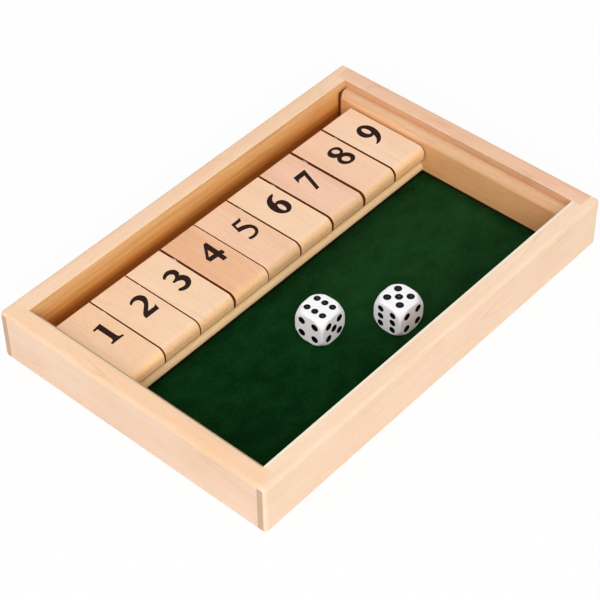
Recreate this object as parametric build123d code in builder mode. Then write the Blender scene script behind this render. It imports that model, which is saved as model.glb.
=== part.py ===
"""Shut the box game: a shallow wooden tray, nine numbered tiles hinged on one rod, and two dice.

Millimetres, +Z up. The origin is on the surface that the tray stands on, under its middle.
X runs along the row of tiles, and +Y points to the wall behind them.
"""
from build123d import *
from math import asin, atan2, copysign, degrees, hypot
import os

# ---------------------------------------------------------------- driving dimensions

# Tray
tray_length = 226.0
tray_depth = 152.6
tray_height = 26.8
wall_thickness = 9.2
outer_edge_radius = 2.0
inner_edge_radius = 0.5
corner_lip = 4.2            # what the corner rabbet leaves of a long wall
base_thickness = 1.8
base_rebate = 4.0           # how far the base panel reaches in under each wall
base_clearance = 0.1
felt_thickness = 0.6
felt_clearance = 0.2

# Side boards, which carry the rod
board_thickness = 4.8
board_top = 22.5
board_round = 4.0
board_end_gap = 1.3

# Tiles
row_play = 7.0              # what the tiles leave free along the row
play_shares = (1, 6, 5, 10, 4, 7, 10, 12, 9, 6)   # its shares in the ten gaps, from the left
tile_top = 17.3
tile_thickness = 10.4
tile_length = 45.8
tile_back_gap = 8.4         # from the back of the tiles to the back wall
nose_top_radius = 3.8
nose_bottom_radius = 4.8
tile_back_radius = 0.5
tile_arris = 0.25

# Numerals
numeral_height = 12.7
numeral_depth = 0.25
numeral_weight = 0.13       # how far the ink spreads beyond the drawn outlines
numeral_baseline = 25.9     # from the back of the tile
numeral_shifts = (3.1, 2.8, 2.5, 2.5, 2.6, 2.2, 1.9, 2.7, 1.8)   # right of each tile's middle

# Rest rail
rail_width = 12.0
rail_set_back = 1.1         # from the tiles' noses to the front of the rail
rail_round = 3.0
tile_rest_gap = 0.05

# Rod and washers
rod_diameter = 4.0
rod_from_back = 8.8         # from the back of the tiles to the rod's axis
rod_end_gap = 0.2
rod_running_clearance = 0.08
washer_diameter = 9.4
washer_play = 0.02          # on each side of a washer in the tightest gap

# Dice
die_edge = 16.0
die_ball_radius = 11.3      # the ball that trims a die's corners
die_edge_radius = 1.0
die_ridge_radius = 0.9      # softens the ridge round each trimmed corner
pip_spacing = 3.62          # from a face's middle, both ways
pip_diameter = 3.7
six_row_spacing = 3.41      # from the middle to each row of three
six_step = 4.32             # between the pips of a row
six_pip_diameter = 3.25
pip_depth = 0.6
die_seat_gap = 0.02
left_die_x = -15.3          # from the middle of the tray
left_die_y = 46.9           # from the inner face of the front wall
left_die_turn = 1.25
right_die_x = 11.9
right_die_y = 25.0
right_die_turn = -1.7

# ---------------------------------------------------------------- sizes that follow

inner_length = tray_length - 2 * wall_thickness
inner_depth = tray_depth - 2 * wall_thickness
back_wall_face = inner_depth / 2
felt_top = base_thickness + felt_thickness

row_length = inner_length - 2 * board_thickness
tile_count = len(play_shares) - 1
tile_width = (row_length - row_play) / tile_count
tile_gaps = [row_play * share / sum(play_shares) for share in play_shares]
tile_lefts = [
    -row_length / 2 + place * tile_width + sum(tile_gaps[: place + 1])
    for place in range(tile_count)
]
washer_thickness = min(tile_gaps[1:-1]) - 2 * washer_play

tile_bottom = tile_top - tile_thickness
tile_back = back_wall_face - tile_back_gap
tile_nose = tile_back - tile_length

rod_y = tile_back - rod_from_back
rod_z = tile_top - tile_thickness / 2

rail_front = tile_nose + rail_set_back
rail_top = tile_bottom - tile_rest_gap

bottom_up = (Align.CENTER, Align.CENTER, Align.MIN)


def save(piece, label):
    """Names a finished piece and writes its STEP file."""
    piece.part.label = label
    export_step(piece.part, f"parts/{label}.step")


os.makedirs("parts", exist_ok=True)

# ---------------------------------------------------------------- walls

# The four walls are cut from one frame, so their rounded edges run on round the corners.
with BuildPart() as frame:
    Box(tray_length, tray_depth, tray_height, align=bottom_up)
    fillet(frame.edges(), radius=outer_edge_radius)
    Box(inner_length, inner_depth, tray_height, align=bottom_up, mode=Mode.SUBTRACT)
    inner_rim = frame.faces().sort_by(Axis.Z)[-1].inner_wires()[0]
    fillet(inner_rim.edges(), radius=inner_edge_radius)
    Box(
        inner_length + 2 * base_rebate,
        inner_depth + 2 * base_rebate,
        base_thickness,
        align=bottom_up,
        mode=Mode.SUBTRACT,
    )


def long_wall(side, label):
    """Full-length wall; a rabbet at each end takes the short wall."""
    outer_face = side * tray_depth / 2
    with BuildPart() as wall:
        add(frame.part)
        with BuildSketch():
            with Locations((0, outer_face - side * corner_lip / 2)):
                Rectangle(tray_length, corner_lip)
            with Locations((0, outer_face - side * wall_thickness / 2)):
                Rectangle(inner_length, wall_thickness)
        extrude(amount=tray_height, mode=Mode.INTERSECT)
    save(wall, label)


def short_wall(side, label):
    """Wall that fits between the lips of the two long walls."""
    with BuildPart() as wall:
        add(frame.part)
        with BuildSketch():
            with Locations((side * (tray_length - wall_thickness) / 2, 0)):
                Rectangle(wall_thickness, tray_depth - 2 * corner_lip)
        extrude(amount=tray_height, mode=Mode.INTERSECT)
    save(wall, label)


long_wall(-1, "wall_front")
long_wall(1, "wall_back")
short_wall(-1, "wall_left")
short_wall(1, "wall_right")

# ---------------------------------------------------------------- base panel and felt

with BuildPart() as base_panel:
    panel_inset = base_rebate - base_clearance
    Box(
        inner_length + 2 * panel_inset,
        inner_depth + 2 * panel_inset,
        base_thickness,
        align=bottom_up,
    )
save(base_panel, "base_panel")

# The felt covers the rolling area, from the front wall to the rest rail.
felt_front = -back_wall_face + felt_clearance
felt_back = rail_front - felt_clearance
with BuildPart() as felt_mat:
    with BuildSketch(Plane.XY.offset(base_thickness)):
        with Locations((0, (felt_front + felt_back) / 2)):
            Rectangle(row_length - 2 * felt_clearance, felt_back - felt_front)
    extrude(amount=felt_thickness)
save(felt_mat, "felt_mat")

# ---------------------------------------------------------------- side boards

board_inner_face = row_length / 2
board_height = board_top - base_thickness

with BuildPart() as side_board_right:
    with BuildSketch(Plane.XZ) as board_section:
        with Locations((board_inner_face, base_thickness)):
            Rectangle(board_thickness, board_height, align=(Align.MIN, Align.MIN))
        inner_top = board_section.vertices().group_by(Axis.Y)[-1].sort_by(Axis.X)[0]
        fillet(inner_top, radius=board_round)
    extrude(amount=inner_depth / 2 - board_end_gap, both=True)
    with BuildSketch(Plane.YZ.offset(board_inner_face)):
        with Locations((rod_y, rod_z)):
            Circle(rod_diameter / 2)
    extrude(amount=board_thickness, mode=Mode.SUBTRACT)
save(side_board_right, "side_board_right")

with BuildPart() as side_board_left:
    mirror(side_board_right.part, about=Plane.YZ)
save(side_board_left, "side_board_left")

# ---------------------------------------------------------------- rest rail

with BuildPart() as tile_rail:
    with BuildSketch(Plane.YZ.offset(-row_length / 2)) as rail_section:
        with Locations((rail_front, base_thickness)):
            Rectangle(rail_width, rail_top - base_thickness, align=(Align.MIN, Align.MIN))
        front_top = rail_section.vertices().group_by(Axis.Y)[-1].sort_by(Axis.X)[0]
        fillet(front_top, radius=rail_round)
    extrude(amount=row_length)
save(tile_rail, "tile_rail")

# ---------------------------------------------------------------- rod and washers

rod_length = inner_length - 2 * rod_end_gap
with BuildPart() as pivot_rod:
    with BuildSketch(Plane.YZ.offset(-rod_length / 2)):
        with Locations((rod_y, rod_z)):
            Circle(rod_diameter / 2)
    extrude(amount=rod_length)
save(pivot_rod, "pivot_rod")

# One washer stands in the middle of each gap between two tiles.
with BuildPart() as rod_washers:
    for left, gap in zip(tile_lefts[1:], tile_gaps[1:]):
        with BuildSketch(Plane.YZ.offset(left - (gap + washer_thickness) / 2)):
            with Locations((rod_y, rod_z)):
                Circle(washer_diameter / 2)
                Circle(rod_diameter / 2 + rod_running_clearance, mode=Mode.SUBTRACT)
        extrude(amount=washer_thickness)
save(rod_washers, "rod_washers")

# ---------------------------------------------------------------- numerals

# Each outline stands on its baseline, centred, in millimetres at this height of the figure 1.
drawn_height = 12.7


def spread(points, by):
    """Moves the points of a closed outline outwards, or inwards where by is negative."""
    after = points[1:] + points[:1]
    before = points[-1:] + points[:-1]
    area = sum(x * v - u * y for (x, y), (u, v) in zip(points, after))
    moved = []
    for last, here, following in zip(before, points, after):
        way_in = (Vector(here) - Vector(last)).normalized()
        way_out = (Vector(following) - Vector(here)).normalized()
        both = way_in + way_out
        reach = copysign(by, by * area) / max(1 + way_in.dot(way_out), 0.5)
        moved.append((here[0] + both.Y * reach, here[1] - both.X * reach))
    return moved


def outline(*runs, by=numeral_weight):
    """Closed face: a run of two points is a straight edge, a longer run one smooth curve."""
    points = spread([point for run in runs for point in run[:-1]], by)
    points.append(points[0])
    start = 0
    with BuildSketch(mode=Mode.PRIVATE) as shape:
        with BuildLine():
            for run in runs:
                end = start + len(run)
                if len(run) == 2:
                    Line(*points[start:end])
                else:
                    Spline(*points[start:end])
                start = end - 1
        make_face()
    return shape.sketch


def oval(centre, half_width, half_height, turn=0):
    """The counter of a round figure."""
    with BuildSketch(mode=Mode.PRIVATE) as shape:
        with Locations(centre):
            Ellipse(half_width - numeral_weight, half_height - numeral_weight, rotation=turn)
    return shape.sketch


def figure_1():
    return outline(
        [(-3.8, 0), (3.15, 0)],
        [(3.15, 0), (3.1, 0.9)],
        [(3.1, 0.9), (1.5, 1.35), (1.05, 2.8)],
        [(1.05, 2.8), (1.1, 12.75)],
        [(1.1, 12.75), (-1.1, 12.4), (-3.5, 12.1)],
        [(-3.5, 12.1), (-3.55, 11.1)],
        [(-3.55, 11.1), (-1.65, 11.2)],
        [(-1.65, 11.2), (-1.65, 2.8)],
        [(-1.65, 2.8), (-2.1, 1.35), (-3.75, 0.95)],
        [(-3.75, 0.95), (-3.8, 0)],
    )


def figure_2():
    return outline(
        [(-3.45, 11.1), (-0.2, 12.95), (2.8, 12.5), (4.25, 10.0), (3.3, 7.2), (-1.3, 2.45)],
        [(-1.3, 2.45), (2.3, 2.3)],
        [(2.3, 2.3), (3.3, 2.6), (4.0, 3.3)],
        [(4.0, 3.3), (3.1, 0)],
        [(3.1, 0), (-4.75, 0)],
        [(-4.75, 0), (-4.6, 0.9)],
        [(-4.6, 0.9), (-0.65, 5.4), (1.4, 8.4), (0.4, 10.8), (-1.6, 11.1), (-3.2, 10.3)],
        [(-3.2, 10.3), (-3.45, 11.1)],
    )


def figure_3():
    return outline(
        [(-4.1, 11.2), (-1.8, 13.1), (0.6, 13.5), (2.9, 12.3), (3.6, 10.1), (2.15, 7.75)],
        [(2.15, 7.75), (3.75, 6.2), (4.25, 3.9), (2.75, 0.95), (-0.6, -0.7), (-4.0, 0.15)],
        [(-4.0, 0.15), (-4.65, 1.1), (-4.2, 1.8)],
        [(-4.2, 1.8), (-2.4, 1.6), (-0.7, 1.4), (0.9, 2.5), (1.2, 4.2), (0.0, 5.4), (-2.3, 5.8)],
        [(-2.3, 5.8), (-2.65, 6.6), (-2.3, 7.2)],
        [(-2.3, 7.2), (-0.2, 7.75), (1.0, 9.5), (0.1, 11.1), (-1.7, 11.3), (-3.65, 10.4)],
        [(-3.65, 10.4), (-4.1, 11.2)],
    )


def figure_4():
    body = outline(
        [(3.15, 13.1), (2.85, 5.2)],
        [(2.85, 5.2), (4.2, 4.9)],
        [(4.2, 4.9), (4.3, 3.3)],
        [(4.3, 3.3), (3.6, 2.5), (2.5, 2.85)],
        [(2.5, 2.85), (2.25, -0.55)],
        [(2.25, -0.55), (-0.1, -0.55)],
        [(-0.1, -0.55), (0.1, 3.0)],
        [(0.1, 3.0), (-4.55, 3.3)],
        [(-4.55, 3.3), (-4.65, 5.6)],
        [(-4.65, 5.6), (1.0, 12.5)],
        [(1.0, 12.5), (1.9, 13.2), (3.15, 13.1)],
    )
    counter = outline(
        [(0.3, 9.5), (-3.1, 5.65)],
        [(-3.1, 5.65), (0.15, 5.4)],
        [(0.15, 5.4), (0.3, 9.5)],
        by=-numeral_weight,
    )
    return body - counter


def figure_5():
    return outline(
        [(-2.35, 12.65), (1.65, 12.7)],
        [(1.65, 12.7), (3.35, 13.05)],
        [(3.35, 13.05), (2.2, 11.05)],
        [(2.2, 11.05), (-1.75, 11.05)],
        [(-1.75, 11.05), (-2.2, 8.9)],
        [(-2.2, 8.9), (0.3, 8.4), (3.0, 6.6), (3.9, 4.0), (2.4, 0.6), (-0.9, -0.8), (-3.8, -0.3)],
        [(-3.8, -0.3), (-3.9, 0.4), (-3.15, 1.05)],
        [(-3.15, 1.05), (-0.65, 0.65), (1.7, 1.8), (2.2, 3.9), (0.0, 5.8), (-3.8, 6.6)],
        [(-3.8, 6.6), (-2.35, 12.65)],
    )


def figure_6():
    body = outline(
        [
            (3.7, 12.6), (0.7, 12.4), (-2.75, 9.8), (-4.45, 4.6), (-3.3, 0.6), (0, -1.2),
            (3.3, 0.6), (4.3, 4.1), (3.2, 6.85), (1.2, 7.6), (-0.3, 7.2),
        ],
        [(-0.3, 7.2), (-0.1, 8.8), (1.2, 10.5), (3.2, 11.7)],
        [(3.2, 11.7), (3.7, 12.6)],
    )
    return body - oval((-0.05, 3.25), 1.4, 2.8, -4)


def figure_7():
    return outline(
        [(-3.3, 12.65), (4.2, 12.65)],
        [(4.2, 12.65), (-0.6, -0.7)],
        [(-0.6, -0.7), (-2.5, -0.7)],
        [(-2.5, -0.7), (1.35, 10.0)],
        [(1.35, 10.0), (-2.4, 10.0)],
        [(-2.4, 10.0), (-3.2, 9.6), (-3.85, 8.65)],
        [(-3.85, 8.65), (-4.4, 8.75)],
        [(-4.4, 8.75), (-3.3, 12.65)],
    )


def figure_8():
    body = outline(
        [
            (1.9, 6.95), (3.45, 8.6), (3.75, 10.8), (2.35, 12.5), (0.05, 13.05), (-2.55, 12.4),
            (-4.2, 10.3), (-3.8, 8.2), (-2.2, 6.75),
        ],
        [
            (-2.2, 6.75), (-3.75, 5.1), (-4.4, 3.1), (-2.9, 0.45), (0.05, -0.55), (3.15, 0.4),
            (4.35, 3.2), (3.6, 5.4), (1.9, 6.95),
        ],
    )
    return body - oval((0.35, 9.95), 1.6, 2.05, 35) - oval((-0.2, 3.05), 1.85, 2.25, 40)


def figure_9():
    body = outline(
        [
            (-3.65, -1.0), (-0.8, -0.6), (2.05, 1.6), (4.1, 5.6), (4.4, 8.9), (3.1, 11.95),
            (0, 13.5), (-3.1, 11.9), (-4.45, 8.7), (-3.4, 5.6), (-0.9, 4.35), (0.5, 4.5),
        ],
        [(0.5, 4.5), (-0.4, 2.1), (-3.75, -0.55)],
        [(-3.75, -0.55), (-3.65, -1.0)],
    )
    return body - oval((0.05, 8.75), 1.5, 2.75, 4)


figures = [
    figure_1, figure_2, figure_3, figure_4, figure_5, figure_6, figure_7, figure_8, figure_9,
]

# ---------------------------------------------------------------- tiles


def tile(number):
    """One tile on the rod; it lies flat with its nose on the rest rail."""
    left = tile_lefts[number - 1]
    numeral_x = left + tile_width / 2 + numeral_shifts[number - 1]
    with BuildPart() as piece:
        with BuildSketch(Plane.YZ.offset(left)) as section:
            with Locations((tile_nose, tile_bottom)):
                Rectangle(tile_length, tile_thickness, align=(Align.MIN, Align.MIN))
            fillet(section.vertices().group_by(Axis.X)[-1], radius=tile_back_radius)
            nose_top = section.vertices().group_by(Axis.X)[0].sort_by(Axis.Y)[-1]
            fillet(nose_top, radius=nose_top_radius)
            nose_bottom = section.vertices().group_by(Axis.Y)[0].sort_by(Axis.X)[0]
            fillet(nose_bottom, radius=nose_bottom_radius)
        extrude(amount=tile_width)
        fillet(piece.faces().filter_by(Axis.X).edges(), radius=tile_arris)
        with BuildSketch(Plane.YZ.offset(left)):
            with Locations((rod_y, rod_z)):
                Circle(rod_diameter / 2 + rod_running_clearance)
        extrude(amount=tile_width, mode=Mode.SUBTRACT)
        with BuildSketch(Plane.XY.offset(tile_top)):
            with Locations((numeral_x, tile_back - numeral_baseline)):
                add(figures[number - 1]().scale(numeral_height / drawn_height))
        extrude(amount=-numeral_depth, mode=Mode.SUBTRACT)
    save(piece, f"tile_{number}")


for number in range(1, tile_count + 1):
    tile(number)

# ---------------------------------------------------------------- dice

slant = [(-pip_spacing, -pip_spacing), (pip_spacing, pip_spacing)]
corners = slant + [(-pip_spacing, pip_spacing), (pip_spacing, -pip_spacing)]
rows = [(u * six_row_spacing, v * six_step) for u in (-1, 1) for v in (-1, 0, 1)]
pip_pattern = {
    1: [(0, 0)],
    2: slant,
    3: slant + [(0, 0)],
    4: corners,
    5: corners + [(0, 0)],
    6: rows,
}
die_faces = {
    "top": Plane((0, 0, die_edge / 2), x_dir=(1, 0, 0), z_dir=(0, 0, 1)),
    "bottom": Plane((0, 0, -die_edge / 2), x_dir=(-1, 0, 0), z_dir=(0, 0, -1)),
    "left": Plane((-die_edge / 2, 0, 0), x_dir=(0, -1, 0), z_dir=(-1, 0, 0)),
    "right": Plane((die_edge / 2, 0, 0), x_dir=(0, 1, 0), z_dir=(1, 0, 0)),
    "front": Plane((0, -die_edge / 2, 0), x_dir=(1, 0, 0), z_dir=(0, -1, 0)),
    "back": Plane((0, die_edge / 2, 0), x_dir=(-1, 0, 0), z_dir=(0, 1, 0)),
}


def die(label, x, y, turn, top, left, front):
    """Die with its corners trimmed to a ball. Opposite faces add up to seven."""
    count = {
        "top": top, "bottom": 7 - top, "left": left, "right": 7 - left,
        "front": front, "back": 7 - front,
    }
    centre_z = felt_top + die_seat_gap + die_edge / 2
    stand = Plane((x, y, centre_z), z_dir=(0, 0, 1)).rotated((0, 0, turn))
    with BuildPart(stand) as piece:
        Box(die_edge, die_edge, die_edge)
        fillet(piece.edges(), radius=die_edge_radius)
        Sphere(die_ball_radius, mode=Mode.INTERSECT)
        fillet(piece.faces().filter_by(GeomType.SPHERE).edges(), radius=die_ridge_radius)
        for name, face in die_faces.items():
            pips = count[name]
            width = six_pip_diameter if pips == 6 else pip_diameter
            ball = (width ** 2 / 4 + pip_depth ** 2) / (2 * pip_depth)
            places = [(u, v, ball - pip_depth) for u, v in pip_pattern[pips]]
            with Locations(face):
                with Locations(*places):
                    Sphere(ball, mode=Mode.SUBTRACT)
    save(piece, label)


left_y = left_die_y - back_wall_face
right_y = right_die_y - back_wall_face
die("die_left", left_die_x, left_y, left_die_turn, top=6, left=4, front=5)
die("die_right", right_die_x, right_y, right_die_turn, top=5, left=6, front=4)

# ---------------------------------------------------------------- the swing of a tile

# A raised tile comes to rest with its face on the inner top edge of the back wall.
half_tile = tile_thickness / 2
reach_y = back_wall_face + inner_edge_radius - rod_y
reach_z = tray_height - inner_edge_radius - rod_z
lean = 180 - degrees(asin((half_tile + inner_edge_radius) / hypot(reach_y, reach_z)))
swing = lean - degrees(atan2(reach_z, reach_y))
tail_radius = hypot(rod_from_back - tile_back_radius, half_tile - tile_back_radius)
tail_room = rod_z - base_thickness - tail_radius - tile_back_radius
print(f"tile width {tile_width:.2f}, rod at y {rod_y:.2f}, z {rod_z:.2f}")
print(f"a tile swings {swing:.1f} degrees, and its tail clears the base by {tail_room:.2f}")
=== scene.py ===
"""Looks of the shut the box game: wood, felt, ink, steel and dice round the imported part."""
import math

import bpy
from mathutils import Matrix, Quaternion, Vector

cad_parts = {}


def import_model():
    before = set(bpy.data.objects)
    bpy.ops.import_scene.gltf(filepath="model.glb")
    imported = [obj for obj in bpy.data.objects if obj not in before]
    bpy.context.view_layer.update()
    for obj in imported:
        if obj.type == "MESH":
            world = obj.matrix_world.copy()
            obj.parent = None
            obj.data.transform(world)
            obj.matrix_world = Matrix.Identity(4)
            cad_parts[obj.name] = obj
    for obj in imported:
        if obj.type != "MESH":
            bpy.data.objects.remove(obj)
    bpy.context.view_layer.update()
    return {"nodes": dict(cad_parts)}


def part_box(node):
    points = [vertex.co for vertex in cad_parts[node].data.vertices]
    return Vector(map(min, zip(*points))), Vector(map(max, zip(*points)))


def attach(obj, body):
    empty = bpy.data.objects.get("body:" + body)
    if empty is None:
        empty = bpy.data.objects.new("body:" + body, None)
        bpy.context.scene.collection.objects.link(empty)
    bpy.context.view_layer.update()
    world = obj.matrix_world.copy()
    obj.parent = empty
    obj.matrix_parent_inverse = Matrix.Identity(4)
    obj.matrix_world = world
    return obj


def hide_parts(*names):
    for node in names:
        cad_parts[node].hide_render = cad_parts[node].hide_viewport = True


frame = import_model()
nodes = frame["nodes"]
scene = bpy.context.scene
scene.view_settings.view_transform = "Standard"

# How far the walls' inner faces stand from the middle, along X and along Y, in metres.
inner = (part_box("wall_right")[0].x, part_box("wall_back")[0].y)
board_low, board_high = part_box("side_board_right")


# ------------------------------------------------------------------ helpers

class Graph:
    """A material's node tree, with short calls for the nodes used here."""

    def __init__(self, name):
        self.material = bpy.data.materials.new(name)
        self.material.use_nodes = True
        self.tree = self.material.node_tree
        self.tree.nodes.clear()
        self.coords = self.node("ShaderNodeTexCoord")
        self.out = self.node("ShaderNodeOutputMaterial")
        self.shader = self.node("ShaderNodeBsdfPrincipled")
        self.link(self.shader.outputs["BSDF"], self.out.inputs["Surface"])

    def node(self, kind, **settings):
        made = self.tree.nodes.new(kind)
        for key, value in settings.items():
            setattr(made, key, value)
        return made

    def link(self, source, target):
        self.tree.links.new(source, target)

    def put(self, socket, value):
        """Links a socket to another node's output, or sets it. None leaves it as it is."""
        if isinstance(value, bpy.types.NodeSocket):
            self.link(value, socket)
        elif value is not None:
            socket.default_value = value

    def math(self, operation, a, b=None, c=None, clamp=False):
        made = self.node("ShaderNodeMath", operation=operation, use_clamp=clamp)
        for socket, value in zip(made.inputs, (a, b, c)):
            self.put(socket, value)
        return made.outputs[0]

    def all_of(self, *shares):
        """The product of several shares, which is 1 only where each of them is."""
        product = shares[0]
        for share in shares[1:]:
            product = self.math("MULTIPLY", product, share)
        return product

    def swing(self, value, gain, level, clamp=False):
        """The level, raised where the value is over a half, and lowered where it's under."""
        off = self.math("SUBTRACT", value, 0.5)
        return self.math("MULTIPLY_ADD", off, gain, level, clamp=clamp)

    def span(self, value, low, high, to_low=0.0, to_high=1.0, smooth=False):
        """The value's place between low and high, as a number from to_low to to_high."""
        kind = "SMOOTHSTEP" if smooth else "LINEAR"
        made = self.node("ShaderNodeMapRange", interpolation_type=kind)
        limits = {"From Min": low, "From Max": high, "To Min": to_low, "To Max": to_high}
        for key, number in limits.items():
            made.inputs[key].default_value = number
        self.put(made.inputs["Value"], value)
        return made.outputs["Result"]

    def mapped(self, scale, shift=(0, 0, 0)):
        """A point's place on the piece, moved and scaled for a texture."""
        made = self.node("ShaderNodeMapping")
        self.link(self.coords.outputs["Object"], made.inputs["Vector"])
        made.inputs["Location"].default_value = shift
        made.inputs["Scale"].default_value = scale
        return made.outputs["Vector"]

    def noise(self, vector, detail=2.0, roughness=0.5, distortion=0.0):
        made = self.node("ShaderNodeTexNoise")
        self.link(vector, made.inputs["Vector"])
        made.inputs["Scale"].default_value = 1.0
        made.inputs["Detail"].default_value = detail
        made.inputs["Roughness"].default_value = roughness
        made.inputs["Distortion"].default_value = distortion
        return made.outputs["Fac"]

    def mix(self, share, a, b, blend="MIX"):
        made = self.node("ShaderNodeMix", data_type="RGBA", blend_type=blend)
        factor, first, second = made.inputs[0], made.inputs[6], made.inputs[7]
        self.put(factor, share)
        self.put(first, a)
        self.put(second, b)
        return made.outputs[2]

    def ramp(self, value, stops):
        """A colour that changes smoothly over a value, given as (value, colour) stops."""
        low, high = stops[0][0], stops[-1][0]
        made = self.node("ShaderNodeValToRGB")
        made.color_ramp.interpolation = "EASE"
        elements = made.color_ramp.elements
        while len(elements) < len(stops):
            elements.new(0.5)
        for element, (place, colour) in zip(elements, stops):
            element.position = (place - low) / (high - low)
            element.color = colour
        self.link(self.span(value, low, high), made.inputs["Fac"])
        return made.outputs["Color"]

    def axes(self, output):
        """The X, Y and Z of a direction or a place."""
        made = self.node("ShaderNodeSeparateXYZ")
        self.link(self.coords.outputs[output], made.inputs[0])
        return made.outputs

    def bump(self, height, strength, distance):
        made = self.node("ShaderNodeBump")
        self.link(height, made.inputs["Height"])
        made.inputs["Strength"].default_value = strength
        made.inputs["Distance"].default_value = distance
        self.link(made.outputs["Normal"], self.shader.inputs["Normal"])


def rgb(red, green, blue):
    """An sRGB colour, 0 to 255, as linear RGBA."""
    def linear(value):
        value /= 255
        return value / 12.92 if value <= 0.04045 else ((value + 0.055) / 1.055) ** 2.4
    return (linear(red), linear(green), linear(blue), 1.0)


def shade(colour, share):
    """The same colour, with each linear value times a share."""
    return tuple(share * value for value in colour[:3]) + (1.0,)


def dress(node, material):
    """Gives a CAD node its material."""
    mesh = nodes[node].data
    mesh.materials.clear()
    mesh.materials.append(material)


def added(name, data):
    """A new object in the scene."""
    made = bpy.data.objects.new(name, data)
    scene.collection.objects.link(made)
    return made


def grid_cells(columns, rows):
    """The four corners of each cell of a grid, whose points are counted row by row."""
    wide = columns + 1
    for j in range(rows):
        for i in range(columns):
            corner = j * wide + i
            yield corner, corner + 1, corner + wide + 1, corner + wide


# ------------------------------------------------------------------ wood

pink_cast = (0.99, 0.93, 0.90, 1)
yellow_cast = (0.97, 0.96, 0.86, 1)
wood_gloss = 0.2
grain_depth = 0.00012


def wood(name, along, light, dark, seed, end=None, extra=None, end_starts=0.86):
    """Pale close-grained wood. along is the grain's axis, 0 for X and 1 for Y.

    The end grain's colour comes in where the surface turns towards that axis, from end_starts on.
    """
    g = Graph(name)

    def grain(long_scale, cross_scale, offset):
        scale = [cross_scale] * 3
        scale[along] = long_scale
        return g.mapped(scale, (seed * 3.7 + offset, seed * 5.3 - offset, seed * 1.9))

    broad = g.noise(grain(7, 55, 0.0), detail=3, roughness=0.55, distortion=0.6)
    streak = g.noise(grain(22, 620, 4.0), detail=4, roughness=0.6)
    fine = g.noise(grain(110, 1500, 9.0), detail=3, roughness=0.6)
    fleck = g.noise(grain(330, 2100, 14.0), detail=1, roughness=0.4)
    cloud = g.noise(g.mapped((28, 28, 28), (seed, 2 * seed, 0)), detail=2)
    patch = g.noise(g.mapped((60, 60, 60), (4 * seed, seed, 3)), detail=1)

    tone = g.swing(broad, 1.5, 0.42)
    tone = g.swing(streak, 1.0, tone)
    tone = g.swing(fine, 1.0, tone)
    tone = g.swing(cloud, 0.8, tone, clamp=True)
    colour = g.mix(tone, light, dark)
    # Soft pink and yellow patches, growth lines that close into long arches, and small flecks.
    pink = g.span(patch, 0.35, 0.7, 0.0, 0.5, smooth=True)
    colour = g.mix(pink, colour, pink_cast, blend="MULTIPLY")
    yellow = g.span(patch, 0.6, 0.3, 0.0, 0.5, smooth=True)
    colour = g.mix(yellow, colour, yellow_cast, blend="MULTIPLY")
    rings = g.math("PINGPONG", g.math("MULTIPLY", g.noise(grain(4, 34, 21.0), detail=1), 9.0), 0.5)
    lines = g.all_of(g.span(rings, 0.07, 0.0), g.span(cloud, 0.35, 0.6, 0.0, 0.2))
    colour = g.mix(lines, colour, (0.66 * dark[0], 0.56 * dark[1], 0.5 * dark[2], 1))
    colour = g.mix(g.span(fleck, 0.66, 0.76, 0.0, 0.24), colour, shade(dark, 0.55))

    normal = g.axes("Normal")
    if end is not None:
        facing = g.span(g.math("ABSOLUTE", normal[along]), end_starts, 0.97, smooth=True)
        dots = g.noise(g.mapped((900, 900, 900), (seed, 0, 0)), detail=2)
        colour = g.mix(facing, colour, g.mix(g.span(dots, 0.3, 0.7), end, shade(end, 0.86)))
    if extra is not None:
        colour = extra(g, colour, normal)
    g.link(colour, g.shader.inputs["Base Color"])
    g.link(g.span(streak, 0.2, 0.8, 0.5, 0.66), g.shader.inputs["Roughness"])
    g.shader.inputs["Specular IOR Level"].default_value = wood_gloss
    g.bump(g.math("ADD", streak, g.math("MULTIPLY", fine, 0.6)), 0.25, grain_depth)
    return g.material


# Paints that go over the wood. Each takes the graph, the colour so far and the normal's axes.

# Painted shade for the gap between the right side board's end and the back wall.
gap_shade_brown = rgb(150, 84, 46)
streak_brown = (0.25, 0.12, 0.04, 1)
# Painted shade on the side boards' rounded upper edge.
lip_shade_tint = (0.92, 0.92, 0.93, 1)


def layered(*paints):
    """Several paints, one over the other."""
    def paint(g, colour, normal):
        for one in paints:
            colour = one(g, colour, normal)
        return colour
    return paint


def painted_face_light(axis, sign, tints, streaks=0.0):
    """Tints the side that looks along one axis with painted light and shade, by (height, tint)
    stops, and adds dark streaks.
    """
    def paint(g, colour, normal):
        tint = tints[0][1]
        if len(tints) > 1:
            tint = g.ramp(g.axes("Object")[2], tints)
        if streaks:
            scale = [400.0] * 3
            scale[1 - axis] = 14.0
            lines = g.noise(g.mapped(scale, (5, 2, 8)), detail=4, roughness=0.65)
            tint = g.mix(g.span(lines, 0.45, 0.75, 0.0, streaks), tint, streak_brown)
        facing = g.span(g.math("MULTIPLY", normal[axis], sign), 0.75, 0.95, smooth=True)
        return g.mix(facing, colour, g.mix(1.0, colour, tint, blend="MULTIPLY"))
    return paint


def painted_rim_light(axis, width, rim_tone):
    """The top face of the front or left wall, in another tone along its inner edge: painted light
    and shade where the edge catches the light.

    It ends where the neighbouring walls begin.
    """
    starts = -inner[axis] - width
    ends = inner[1 - axis]
    blur = 0.0003

    def paint(g, colour, normal):
        place = g.axes("Object")
        beside = g.span(place[axis], starts - blur, starts + blur)
        upwards = g.span(normal[2], 0.15, 0.4)
        between = g.span(g.math("ABSOLUTE", place[1 - axis]), ends + 0.0001, ends)
        return g.mix(g.all_of(beside, upwards, between), colour, rim_tone)
    return paint


def painted_corner_shade(g, colour, normal):
    """Painted shade: brown on the back wall where it meets the end of the right side board, for the
    shade in the gap between them.
    """
    x, _, z = g.axes("Object")
    beside = g.span(x, board_low.x - 0.0002, board_low.x + 0.0002)
    below = g.span(z, board_high.z - 0.0003, board_high.z - 0.0013)
    facing = g.span(normal[1], -0.75, -0.95)
    return g.mix(g.all_of(beside, below, facing), colour, gap_shade_brown)


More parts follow.
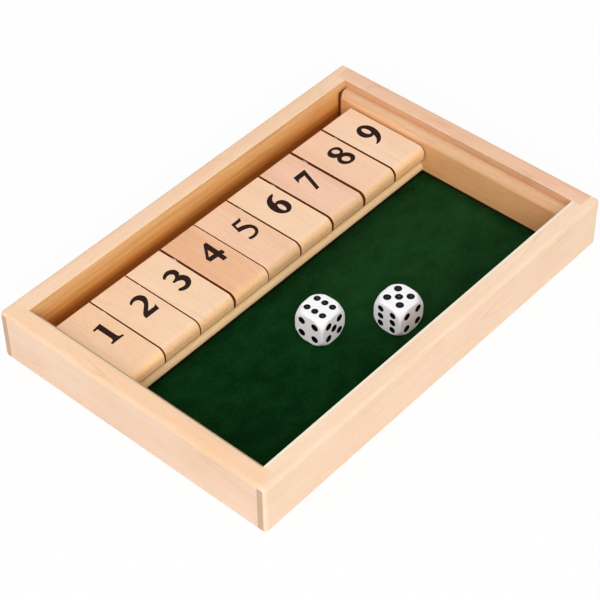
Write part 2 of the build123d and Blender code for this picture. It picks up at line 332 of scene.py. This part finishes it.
def painted_lip_shade(g, colour, normal):
    """A side board's rounded upper edge, with painted shade a little deeper towards its top."""
    z = g.axes("Object")[2]
    upper = g.span(z, board_high.z - 0.0027, board_high.z - 0.0011, smooth=True)
    return g.mix(upper, colour, g.mix(1.0, colour, lip_shade_tint, blend="MULTIPLY"))


def painted_back_end_shade(g, colour, normal):
    """Painted shade: brown at the back end of the right side board, where it nears the back wall.
    """
    y = g.axes("Object")[1]
    behind = g.span(y, board_high.y - 0.0007, board_high.y - 0.0004)
    upright = g.span(normal[2], 0.8, 0.5)
    return g.mix(g.all_of(behind, upright), colour, gap_shade_brown)


# Tints by height above the table, from the foot of the face up, mostly painted light and shade. A
# single tint is for all of a face.
# Painted shade: the back wall's inner face turns darker and deeper brown towards its foot, where
# the tiles shade the gap.
back_shade_tints = [
    (0.0095, (0.50, 0.25, 0.06, 1)),
    (0.0125, (0.68, 0.40, 0.11, 1)),
    (0.0158, (0.93, 0.66, 0.28, 1)),
    (0.0203, (0.98, 0.78, 0.42, 1)),
    (0.0240, (0.96, 0.85, 0.54, 1)),
]
# Painted shade: the right wall's inner face, above the side board, is darker and browner towards
# its foot.
right_shade_tints = [
    (0.0222, (0.74, 0.56, 0.38, 1)),
    (0.0236, (0.84, 0.74, 0.60, 1)),
    (0.0260, (0.87, 0.83, 0.72, 1)),
]
# The rail's face: a thin dark line at its foot, and painted light that makes the face paler above
# it.
rail_light_tints = [
    (0.0027, (0.05, 0.03, 0.01, 1)),
    (0.0031, (1.0, 1.08, 1.22, 1)),
    (0.0060, (1.0, 1.02, 1.06, 1)),
]
# The side boards' inner faces: a thin dark line at the foot with a painted highlight just above it,
# painted shade over the face and a painted highlight near the top.
board_light_and_shade_tints = [
    (0.0024, (0.20, 0.12, 0.05, 1)),
    (0.0028, (0.94, 0.94, 0.86, 1)),
    (0.0044, (0.98, 0.84, 0.66, 1)),
    (0.0181, (0.98, 0.84, 0.66, 1)),
    (0.0192, (1.04, 0.99, 0.98, 1)),
]
# Painted shade: the front wall's outer face a little darker.
front_shade_tint = [(0, (0.96, 0.96, 0.97, 1))]
# Painted light: the left wall's outer face cooler in tone.
left_light_tint = [(0, (0.89, 0.97, 1.12, 1))]

wall_end = rgb(203, 168, 140)
# The front wall's rim carries a painted highlight along its inner edge.
front_paint = layered(painted_face_light(1, -1, front_shade_tint), painted_rim_light(1, 0.0014, (0.88, 0.78, 0.63, 1)))
dress("wall_front", wood("wood_wall_front", 0, rgb(247, 219, 192), rgb(239, 204, 172), 1,
                         wall_end, front_paint))
back_paint = layered(painted_face_light(1, -1, back_shade_tints, streaks=0.35), painted_corner_shade)
dress("wall_back", wood("wood_wall_back", 0, rgb(246, 212, 182), rgb(237, 193, 158), 2,
                        wall_end, back_paint))
# The left wall's rim carries a duller painted tone along its inner edge.
left_paint = layered(painted_face_light(0, -1, left_light_tint), painted_rim_light(0, 0.0012, (0.77, 0.60, 0.42, 1)))
dress("wall_left", wood("wood_wall_left", 1, rgb(247, 210, 176), rgb(240, 195, 156), 3,
                        wall_end, left_paint))
dress("wall_right", wood("wood_wall_right", 1, rgb(242, 202, 172), rgb(231, 182, 150), 4,
                         wall_end, painted_face_light(0, -1, right_shade_tints, streaks=0.3)))
dress("base_panel", wood("wood_base", 0, rgb(226, 188, 146), rgb(206, 162, 118), 5))
dress("tile_rail", wood("wood_rail", 0, rgb(255, 224, 176), rgb(250, 206, 150), 6,
                        rgb(206, 160, 118), painted_face_light(1, -1, rail_light_tints)))

board_end = rgb(90, 52, 28)
board_light, board_dark = rgb(234, 192, 152), rgb(220, 168, 120)
left_board_paint = layered(painted_face_light(0, 1, board_light_and_shade_tints), painted_lip_shade)
dress("side_board_left", wood("wood_board_left", 1, board_light, board_dark, 7,
                              board_end, left_board_paint))
right_board_paint = layered(painted_face_light(0, -1, board_light_and_shade_tints), painted_lip_shade, painted_back_end_shade)
dress("side_board_right", wood("wood_board_right", 1, board_light, board_dark, 8,
                               board_end, right_board_paint))


# ------------------------------------------------------------------ tiles

# Each tile's own light and dark tone.
tile_tones = {
    1: (rgb(246, 208, 173), rgb(236, 190, 150)),
    2: (rgb(246, 210, 177), rgb(238, 196, 160)),
    3: (rgb(248, 214, 184), rgb(240, 202, 168)),
    4: (rgb(241, 194, 157), rgb(228, 172, 132)),
    5: (rgb(246, 205, 174), rgb(234, 187, 152)),
    6: (rgb(248, 214, 182), rgb(240, 200, 166)),
    7: (rgb(246, 205, 178), rgb(234, 187, 158)),
    8: (rgb(246, 206, 176), rgb(238, 192, 160)),
    9: (rgb(249, 216, 187), rgb(241, 203, 172)),
}
# The nose shows end grain, painted brighter and yellower partly as painted light from the front.
# Its tone differs a little from tile to tile.
nose_end = rgb(251, 202, 148)
nose_share = {1: 1.25, 3: 1.03, 4: 1.06, 5: 0.88, 7: 0.88, 9: 1.15}
ink_colour = rgb(46, 30, 26)
ink_gloss = 0.03
# The tiles' sides: a sawn tone darkened as painted shade for the gaps, and painted shade along
# their upper and front edges and beside the next tile.
sawn_and_shaded_side = rgb(196, 138, 92)
painted_gap_shade = rgb(128, 62, 26)

numeral_half_width = 0.0093
numeral_half_height = 0.010
numeral_from_nose = 0.0261      # from the tile's front end to the middle of its numeral
ink_starts = 0.00008            # the ink lies in the cut, between these depths
ink_ends = 0.0006
shadow_line_share = 0.25               # the painted shadow line's width, as a share of the gap to the next tile


def tile_face(node, line_width):
    """Sawn sides in a tone that is partly painted shade for the gaps, painted shade along their
    upper and front edges, and ink in the numeral.

    A painted shadow line also runs along the right edge of the face, and widens over the nose.
    """
    low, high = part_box(node)

    def paint(g, colour, normal):
        x, y, z = g.axes("Object")
        side = g.span(g.math("ABSOLUTE", normal[0]), 0.4, 0.8, smooth=True)
        near_top = g.span(z, high.z - 0.0026, high.z - 0.0018)
        near_front = g.span(y, low.y + 0.0032, low.y + 0.0024)
        edge_shade = g.math("MAXIMUM", near_top, near_front)
        colour = g.mix(side, colour, g.mix(edge_shade, sawn_and_shaded_side, painted_gap_shade))
        width = g.math("MULTIPLY", g.span(normal[1], -0.3, -0.8, 1.0, 1.8), line_width)
        line = g.span(g.math("ADD", x, width), high.x - 0.00005, high.x + 0.00005)
        colour = g.mix(line, colour, painted_gap_shade)

        def within(value, middle, half):
            off = g.math("ABSOLUTE", g.math("SUBTRACT", value, middle))
            return g.math("LESS_THAN", off, half)

        ink = g.all_of(g.math("LESS_THAN", z, high.z - ink_starts),
                       g.math("GREATER_THAN", z, high.z - ink_ends),
                       within(x, (low.x + high.x) / 2, numeral_half_width),
                       within(y, low.y + numeral_from_nose, numeral_half_height))
        gloss = g.math("MULTIPLY_ADD", ink, ink_gloss - wood_gloss, wood_gloss)
        g.link(gloss, g.shader.inputs["Specular IOR Level"])
        return g.mix(ink, colour, ink_colour)
    return paint


for number, (light, dark) in tile_tones.items():
    node = f"tile_{number}"
    end = shade(nose_end, nose_share.get(number, 1.0))
    neighbour = f"tile_{number + 1}" if number < 9 else "side_board_right"
    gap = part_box(neighbour)[0].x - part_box(node)[1].x
    paint = tile_face(node, shadow_line_share * gap)
    dress(node, wood(f"wood_{node}", 1, light, dark, 10 + number, end, paint, end_starts=0.2))


# ------------------------------------------------------------------ steel

def steel():
    """Plain steel, brushed along X."""
    g = Graph("steel")
    grain = g.noise(g.mapped((40, 2500, 2500)), detail=3)
    colour = g.mix(grain, (0.40, 0.37, 0.34, 1), (0.54, 0.50, 0.46, 1))
    g.link(colour, g.shader.inputs["Base Color"])
    g.shader.inputs["Metallic"].default_value = 1.0
    g.link(g.span(grain, 0.2, 0.8, 0.42, 0.56), g.shader.inputs["Roughness"])
    return g.material


metal = steel()
dress("pivot_rod", metal)
dress("rod_washers", metal)


# ------------------------------------------------------------------ dice

die_half = 0.008
die_ball = 0.0113           # the ball that trims the corners
die_edge_radius = 0.001
die_softness = 0.00045      # how far the ridges round the trimmed corners are smoothed
die_cells = 72              # mesh cells along each side of a face
pip_width = 0.0037
six_pip_width = 0.00325     # the pips of the six are smaller
pip_depth = 0.0006
pip_spacing = 0.00362
row_spacing = 0.00341       # the two rows of the six, and the steps along them
row_step = 0.00432

slant = [(-pip_spacing, -pip_spacing), (pip_spacing, pip_spacing)]
corners = slant + [(-pip_spacing, pip_spacing), (pip_spacing, -pip_spacing)]
pip_places = {
    1: [(0, 0)],
    2: slant,
    3: slant + [(0, 0)],
    4: corners,
    5: corners + [(0, 0)],
    6: [(u * row_spacing, v * row_step) for u in (-1, 1) for v in (-1, 0, 1)],
}
# Each side of a die: its outward normal, and the direction of its own X axis.
die_sides = {
    "top": ((0, 0, 1), (1, 0, 0)),
    "bottom": ((0, 0, -1), (-1, 0, 0)),
    "left": ((-1, 0, 0), (0, -1, 0)),
    "right": ((1, 0, 0), (0, 1, 0)),
    "front": ((0, -1, 0), (1, 0, 0)),
    "back": ((0, 1, 0), (-1, 0, 0)),
}


def die_reach(direction):
    """Distance from the middle of a die to its surface: a rounded cube, trimmed softly by the ball.

    The rounded cube's own distance is found by halving, between its face and past its corner.
    """
    straight = die_half - die_edge_radius
    halvings = 22
    low, high = die_half, 1.25 * die_ball
    for _ in range(halvings):
        reach = (low + high) / 2
        over = [max(abs(part) * reach - straight, 0.0) for part in direction]
        if math.sqrt(sum(part * part for part in over)) < die_edge_radius:
            low = reach
        else:
            high = reach
    blend = max(die_softness - abs(low - die_ball), 0.0) / die_softness
    return min(low, die_ball) - blend * blend * die_softness / 4


def die_mesh(name, counts):
    """A die's surface as six grids that share their edges.

    How far each point is from the edge of the nearest pip is kept with it, below zero inside.
    """
    points, sides, number_of, edge = [], [], {}, []
    for side, (normal, across) in die_sides.items():
        normal, across = Vector(normal), Vector(across)
        up = normal.cross(across)
        pips = counts[side]
        radius = (six_pip_width if pips == 6 else pip_width) / 2
        ball = (radius ** 2 + pip_depth ** 2) / (2 * pip_depth)
        grid = []
        for j in range(die_cells + 1):
            for i in range(die_cells + 1):
                u, v = (math.tan((k / die_cells - 0.5) * math.pi / 2) * die_half for k in (i, j))
                spot = normal * die_half + across * u + up * v
                # Sides meet where their spots on the plain cube agree, to a micrometre.
                key = tuple(round(part * 1e6) for part in spot)
                if key not in number_of:
                    spot = spot.normalized()
                    spot *= die_reach(spot)
                    off = min(math.hypot(spot.dot(across) - a, spot.dot(up) - b)
                              for a, b in pip_places[pips])
                    if off < radius:
                        spot -= normal * (math.sqrt(ball * ball - off * off) - (ball - pip_depth))
                    number_of[key] = len(points)
                    points.append(spot)
                    edge.append(off - radius)
                grid.append(number_of[key])
        sides += [[grid[k] for k in cell] for cell in grid_cells(die_cells, die_cells)]
    mesh = bpy.data.meshes.new(name)
    mesh.from_pydata(points, [], sides)
    mesh.attributes.new("pip_edge", "FLOAT", "POINT").data.foreach_set("value", edge)
    mesh.polygons.foreach_set("use_smooth", [True] * len(sides))
    mesh.update()
    return mesh


def die_material():
    """White plastic with a faint mottle. The pips are black and shine in their hollows."""
    g = Graph("die_plastic")
    edge = g.node("ShaderNodeAttribute", attribute_name="pip_edge").outputs["Fac"]
    pip = g.span(edge, 0.00003, -0.00003)
    mottle = g.noise(g.mapped((300, 300, 300)), detail=2)
    white = g.mix(mottle, rgb(246, 246, 248), rgb(238, 238, 241))
    g.link(g.mix(pip, white, rgb(11, 9, 12)), g.shader.inputs["Base Color"])
    g.link(g.span(pip, 0.0, 1.0, 0.42, 0.15), g.shader.inputs["Roughness"])
    g.link(g.span(pip, 0.0, 1.0, 0.4, 0.12), g.shader.inputs["Specular IOR Level"])
    return g.material


def die(node, turn, top, left, front):
    """A finer die in a CAD die's place, turned by some degrees. Opposite sides add up to seven."""
    counts = {"top": top, "bottom": 7 - top, "left": left, "right": 7 - left,
              "front": front, "back": 7 - front}
    low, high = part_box(node)
    made = added(f"{node}_plastic", die_mesh(f"{node}_plastic", counts))
    made.data.materials.append(plastic)
    made.location = (low + high) / 2
    made.rotation_euler.z = math.radians(turn)
    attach(made, node)
    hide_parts(node)


plastic = die_material()
die("die_left", 1.25, top=6, left=4, front=5)
die("die_right", -1.7, top=5, left=6, front=4)


# ------------------------------------------------------------------ felt

def felt_material():
    """Short green nap in patches, with painted shade towards the left and the front and along the
    rail and the right side board, and a brown edge along both.
    """
    g = Graph("felt_green")
    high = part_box("felt_mat")[1]
    fibre = g.noise(g.mapped((1500, 1500, 1500)), detail=3, roughness=0.7)
    nap = g.noise(g.mapped((90, 140, 90)), detail=4, roughness=0.6)
    broad = g.noise(g.mapped((14, 18, 14)), detail=2)
    tone = g.swing(nap, 1.1, 0.5)
    tone = g.swing(broad, 1.0, tone)
    tone = g.swing(fibre, 1.3, tone)
    # Painted shade: the felt turns darker towards the left and the front, where the walls shade it.
    x, y, _ = g.axes("Object")
    tone = g.math("ADD", tone, g.span(x, -0.06, 0.05, -0.26, 0.05, smooth=True))
    tone = g.math("ADD", tone, g.span(y, -0.06, -0.01, -0.1, 0.07, smooth=True))
    # Painted shade along the rail and the right side board too.
    shade_by_rail = g.span(y, high.y - 0.0088, high.y - 0.0003, 0.0, -0.25, smooth=True)
    shade_by_board = g.span(x, high.x - 0.0088, high.x - 0.0008, 0.0, -0.45, smooth=True)
    tone = g.math("ADD", tone, shade_by_rail)
    tone = g.math("ADD", tone, shade_by_board, clamp=True)
    left = g.mix(tone, rgb(2, 36, 9), rgb(19, 66, 27))
    right = g.mix(tone, rgb(5, 36, 11), rgb(26, 65, 29))
    colour = g.mix(g.span(x, -0.03, 0.03, smooth=True), left, right)
    at_rail = g.span(y, high.y - 0.0010, high.y)
    at_board = g.span(x, high.x - 0.0014, high.x - 0.0004)
    colour = g.mix(g.math("MAXIMUM", at_rail, at_board), colour, rgb(26, 22, 5))
    g.link(colour, g.shader.inputs["Base Color"])
    g.shader.inputs["Roughness"].default_value = 0.95
    g.shader.inputs["Specular IOR Level"].default_value = 0.03
    g.bump(g.math("ADD", fibre, nap), 0.5, 0.0003)
    return g.material


def felt_cloth():
    """A sheet of felt glued flat: one closed slab with softened edges and a faintly uneven nap."""
    low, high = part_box("felt_mat")
    columns, rows = 120, 50
    nap_drop, nap_wave = 0.00004, 0.00002
    edge_drop, edge_width = 0.0002, 0.0004
    top = []
    for j in range(rows + 1):
        for i in range(columns + 1):
            x = low.x + (high.x - low.x) * i / columns
            y = low.y + (high.y - low.y) * j / rows
            from_edge = min(x - low.x, high.x - x, y - low.y, high.y - y)
            wave = math.sin(x * 410) * math.sin(y * 530 + 1.3) + 0.6 * math.sin(x * 173 + y * 231)
            sunk = nap_drop - nap_wave * wave + edge_drop * math.exp(-from_edge / edge_width)
            top.append((x, y, high.z - sunk))
    under = [(x, y, low.z) for x, y, _ in top]
    count = len(top)
    faces = []
    for a, b, c, d in grid_cells(columns, rows):
        faces.append((a, b, c, d))
        faces.append((count + a, count + d, count + c, count + b))
    # The points round the top's rim, and the side faces under them.
    wide = columns + 1
    rim = list(range(columns))
    rim += [j * wide + columns for j in range(rows)]
    rim += [rows * wide + i for i in range(columns, 0, -1)]
    rim += [j * wide for j in range(rows, 0, -1)]
    for a, b in zip(rim, rim[1:] + rim[:1]):
        faces.append((a, count + a, count + b, b))
    mesh = bpy.data.meshes.new("felt_cloth")
    mesh.from_pydata(top + under, [], faces)
    mesh.update()
    for face in mesh.polygons:
        face.use_smooth = abs(face.normal.z) > 0.5
    mesh.materials.append(felt_material())
    cloth = added("felt_cloth", mesh)
    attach(cloth, "tray")
    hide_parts("felt_mat")


felt_cloth()


# ------------------------------------------------------------------ floor, light and camera

def floor():
    """Pale floor that shows white, and keeps a little of the object's shadow."""
    white_share = 0.92
    g = Graph("floor_white")
    g.tree.nodes.remove(g.shader)
    matte = g.node("ShaderNodeBsdfDiffuse")
    matte.inputs["Color"].default_value = (0.9, 0.9, 0.9, 1)
    white = g.node("ShaderNodeEmission")
    rays = g.node("ShaderNodeLightPath")
    seen = g.math("MAXIMUM", rays.outputs["Is Camera Ray"], rays.outputs["Is Glossy Ray"])
    seen = g.math("MAXIMUM", seen, rays.outputs["Is Transmission Ray"])
    blend = g.node("ShaderNodeMixShader")
    g.link(g.math("MULTIPLY", seen, white_share), blend.inputs[0])
    g.link(matte.outputs[0], blend.inputs[1])
    g.link(white.outputs[0], blend.inputs[2])
    g.link(blend.outputs[0], g.out.inputs["Surface"])
    bpy.ops.mesh.primitive_plane_add(size=8, location=(0, 0, -0.0002))
    plane = bpy.context.object
    plane.name = "floor"
    plane.data.materials.append(g.material)


def world():
    """A plain world, white to the camera, that lights the object a little less."""
    made = bpy.data.worlds.new("studio")
    scene.world = made
    made.use_nodes = True
    tree = made.node_tree
    sky = tree.nodes["Background"]
    rays = tree.nodes.new("ShaderNodeLightPath")
    level = tree.nodes.new("ShaderNodeMapRange")
    level.inputs["To Min"].default_value = 0.69
    level.inputs["To Max"].default_value = 1.0
    tree.links.new(rays.outputs["Is Camera Ray"], level.inputs["Value"])
    tree.links.new(level.outputs[0], sky.inputs["Strength"])
    sky.inputs["Color"].default_value = (1, 1, 1, 1)


def softbox(name, place, size, power):
    """A soft lamp that looks at the origin, under the middle of the tray."""
    light = bpy.data.lights.new(name, "AREA")
    light.shape = "RECTANGLE"
    light.size, light.size_y = size
    light.energy = power
    lamp = added(name, light)
    lamp.location = place
    lamp.rotation_mode = "QUATERNION"
    lamp.rotation_quaternion = (-Vector(place)).to_track_quat("-Z", "Y")
    return lamp


floor()
world()
softbox("key", (-1.34, -0.9, 1.55), (1.6, 1.6), 21.6)
softbox("fill", (-1.1, -1.4, 0.9), (1.4, 1.0), 7.5)
# A small lamp that is only mirrored, as the bright dots in the hollow pips.
softbox("glint", (0.35, 0.3, 1.5), (0.25, 0.25), 12).visible_diffuse = False

lens = bpy.data.cameras.new("camera")
lens.sensor_width = 36
lens.lens = 117.306
lens.clip_start, lens.clip_end = 0.05, 50
camera = added("camera", lens)
camera.location = (-0.46704, -0.414494, 0.614271)
camera.rotation_mode = "QUATERNION"
camera.rotation_quaternion = Quaternion((0.839807, 0.353515, -0.154557, -0.381921))
scene.camera = camera
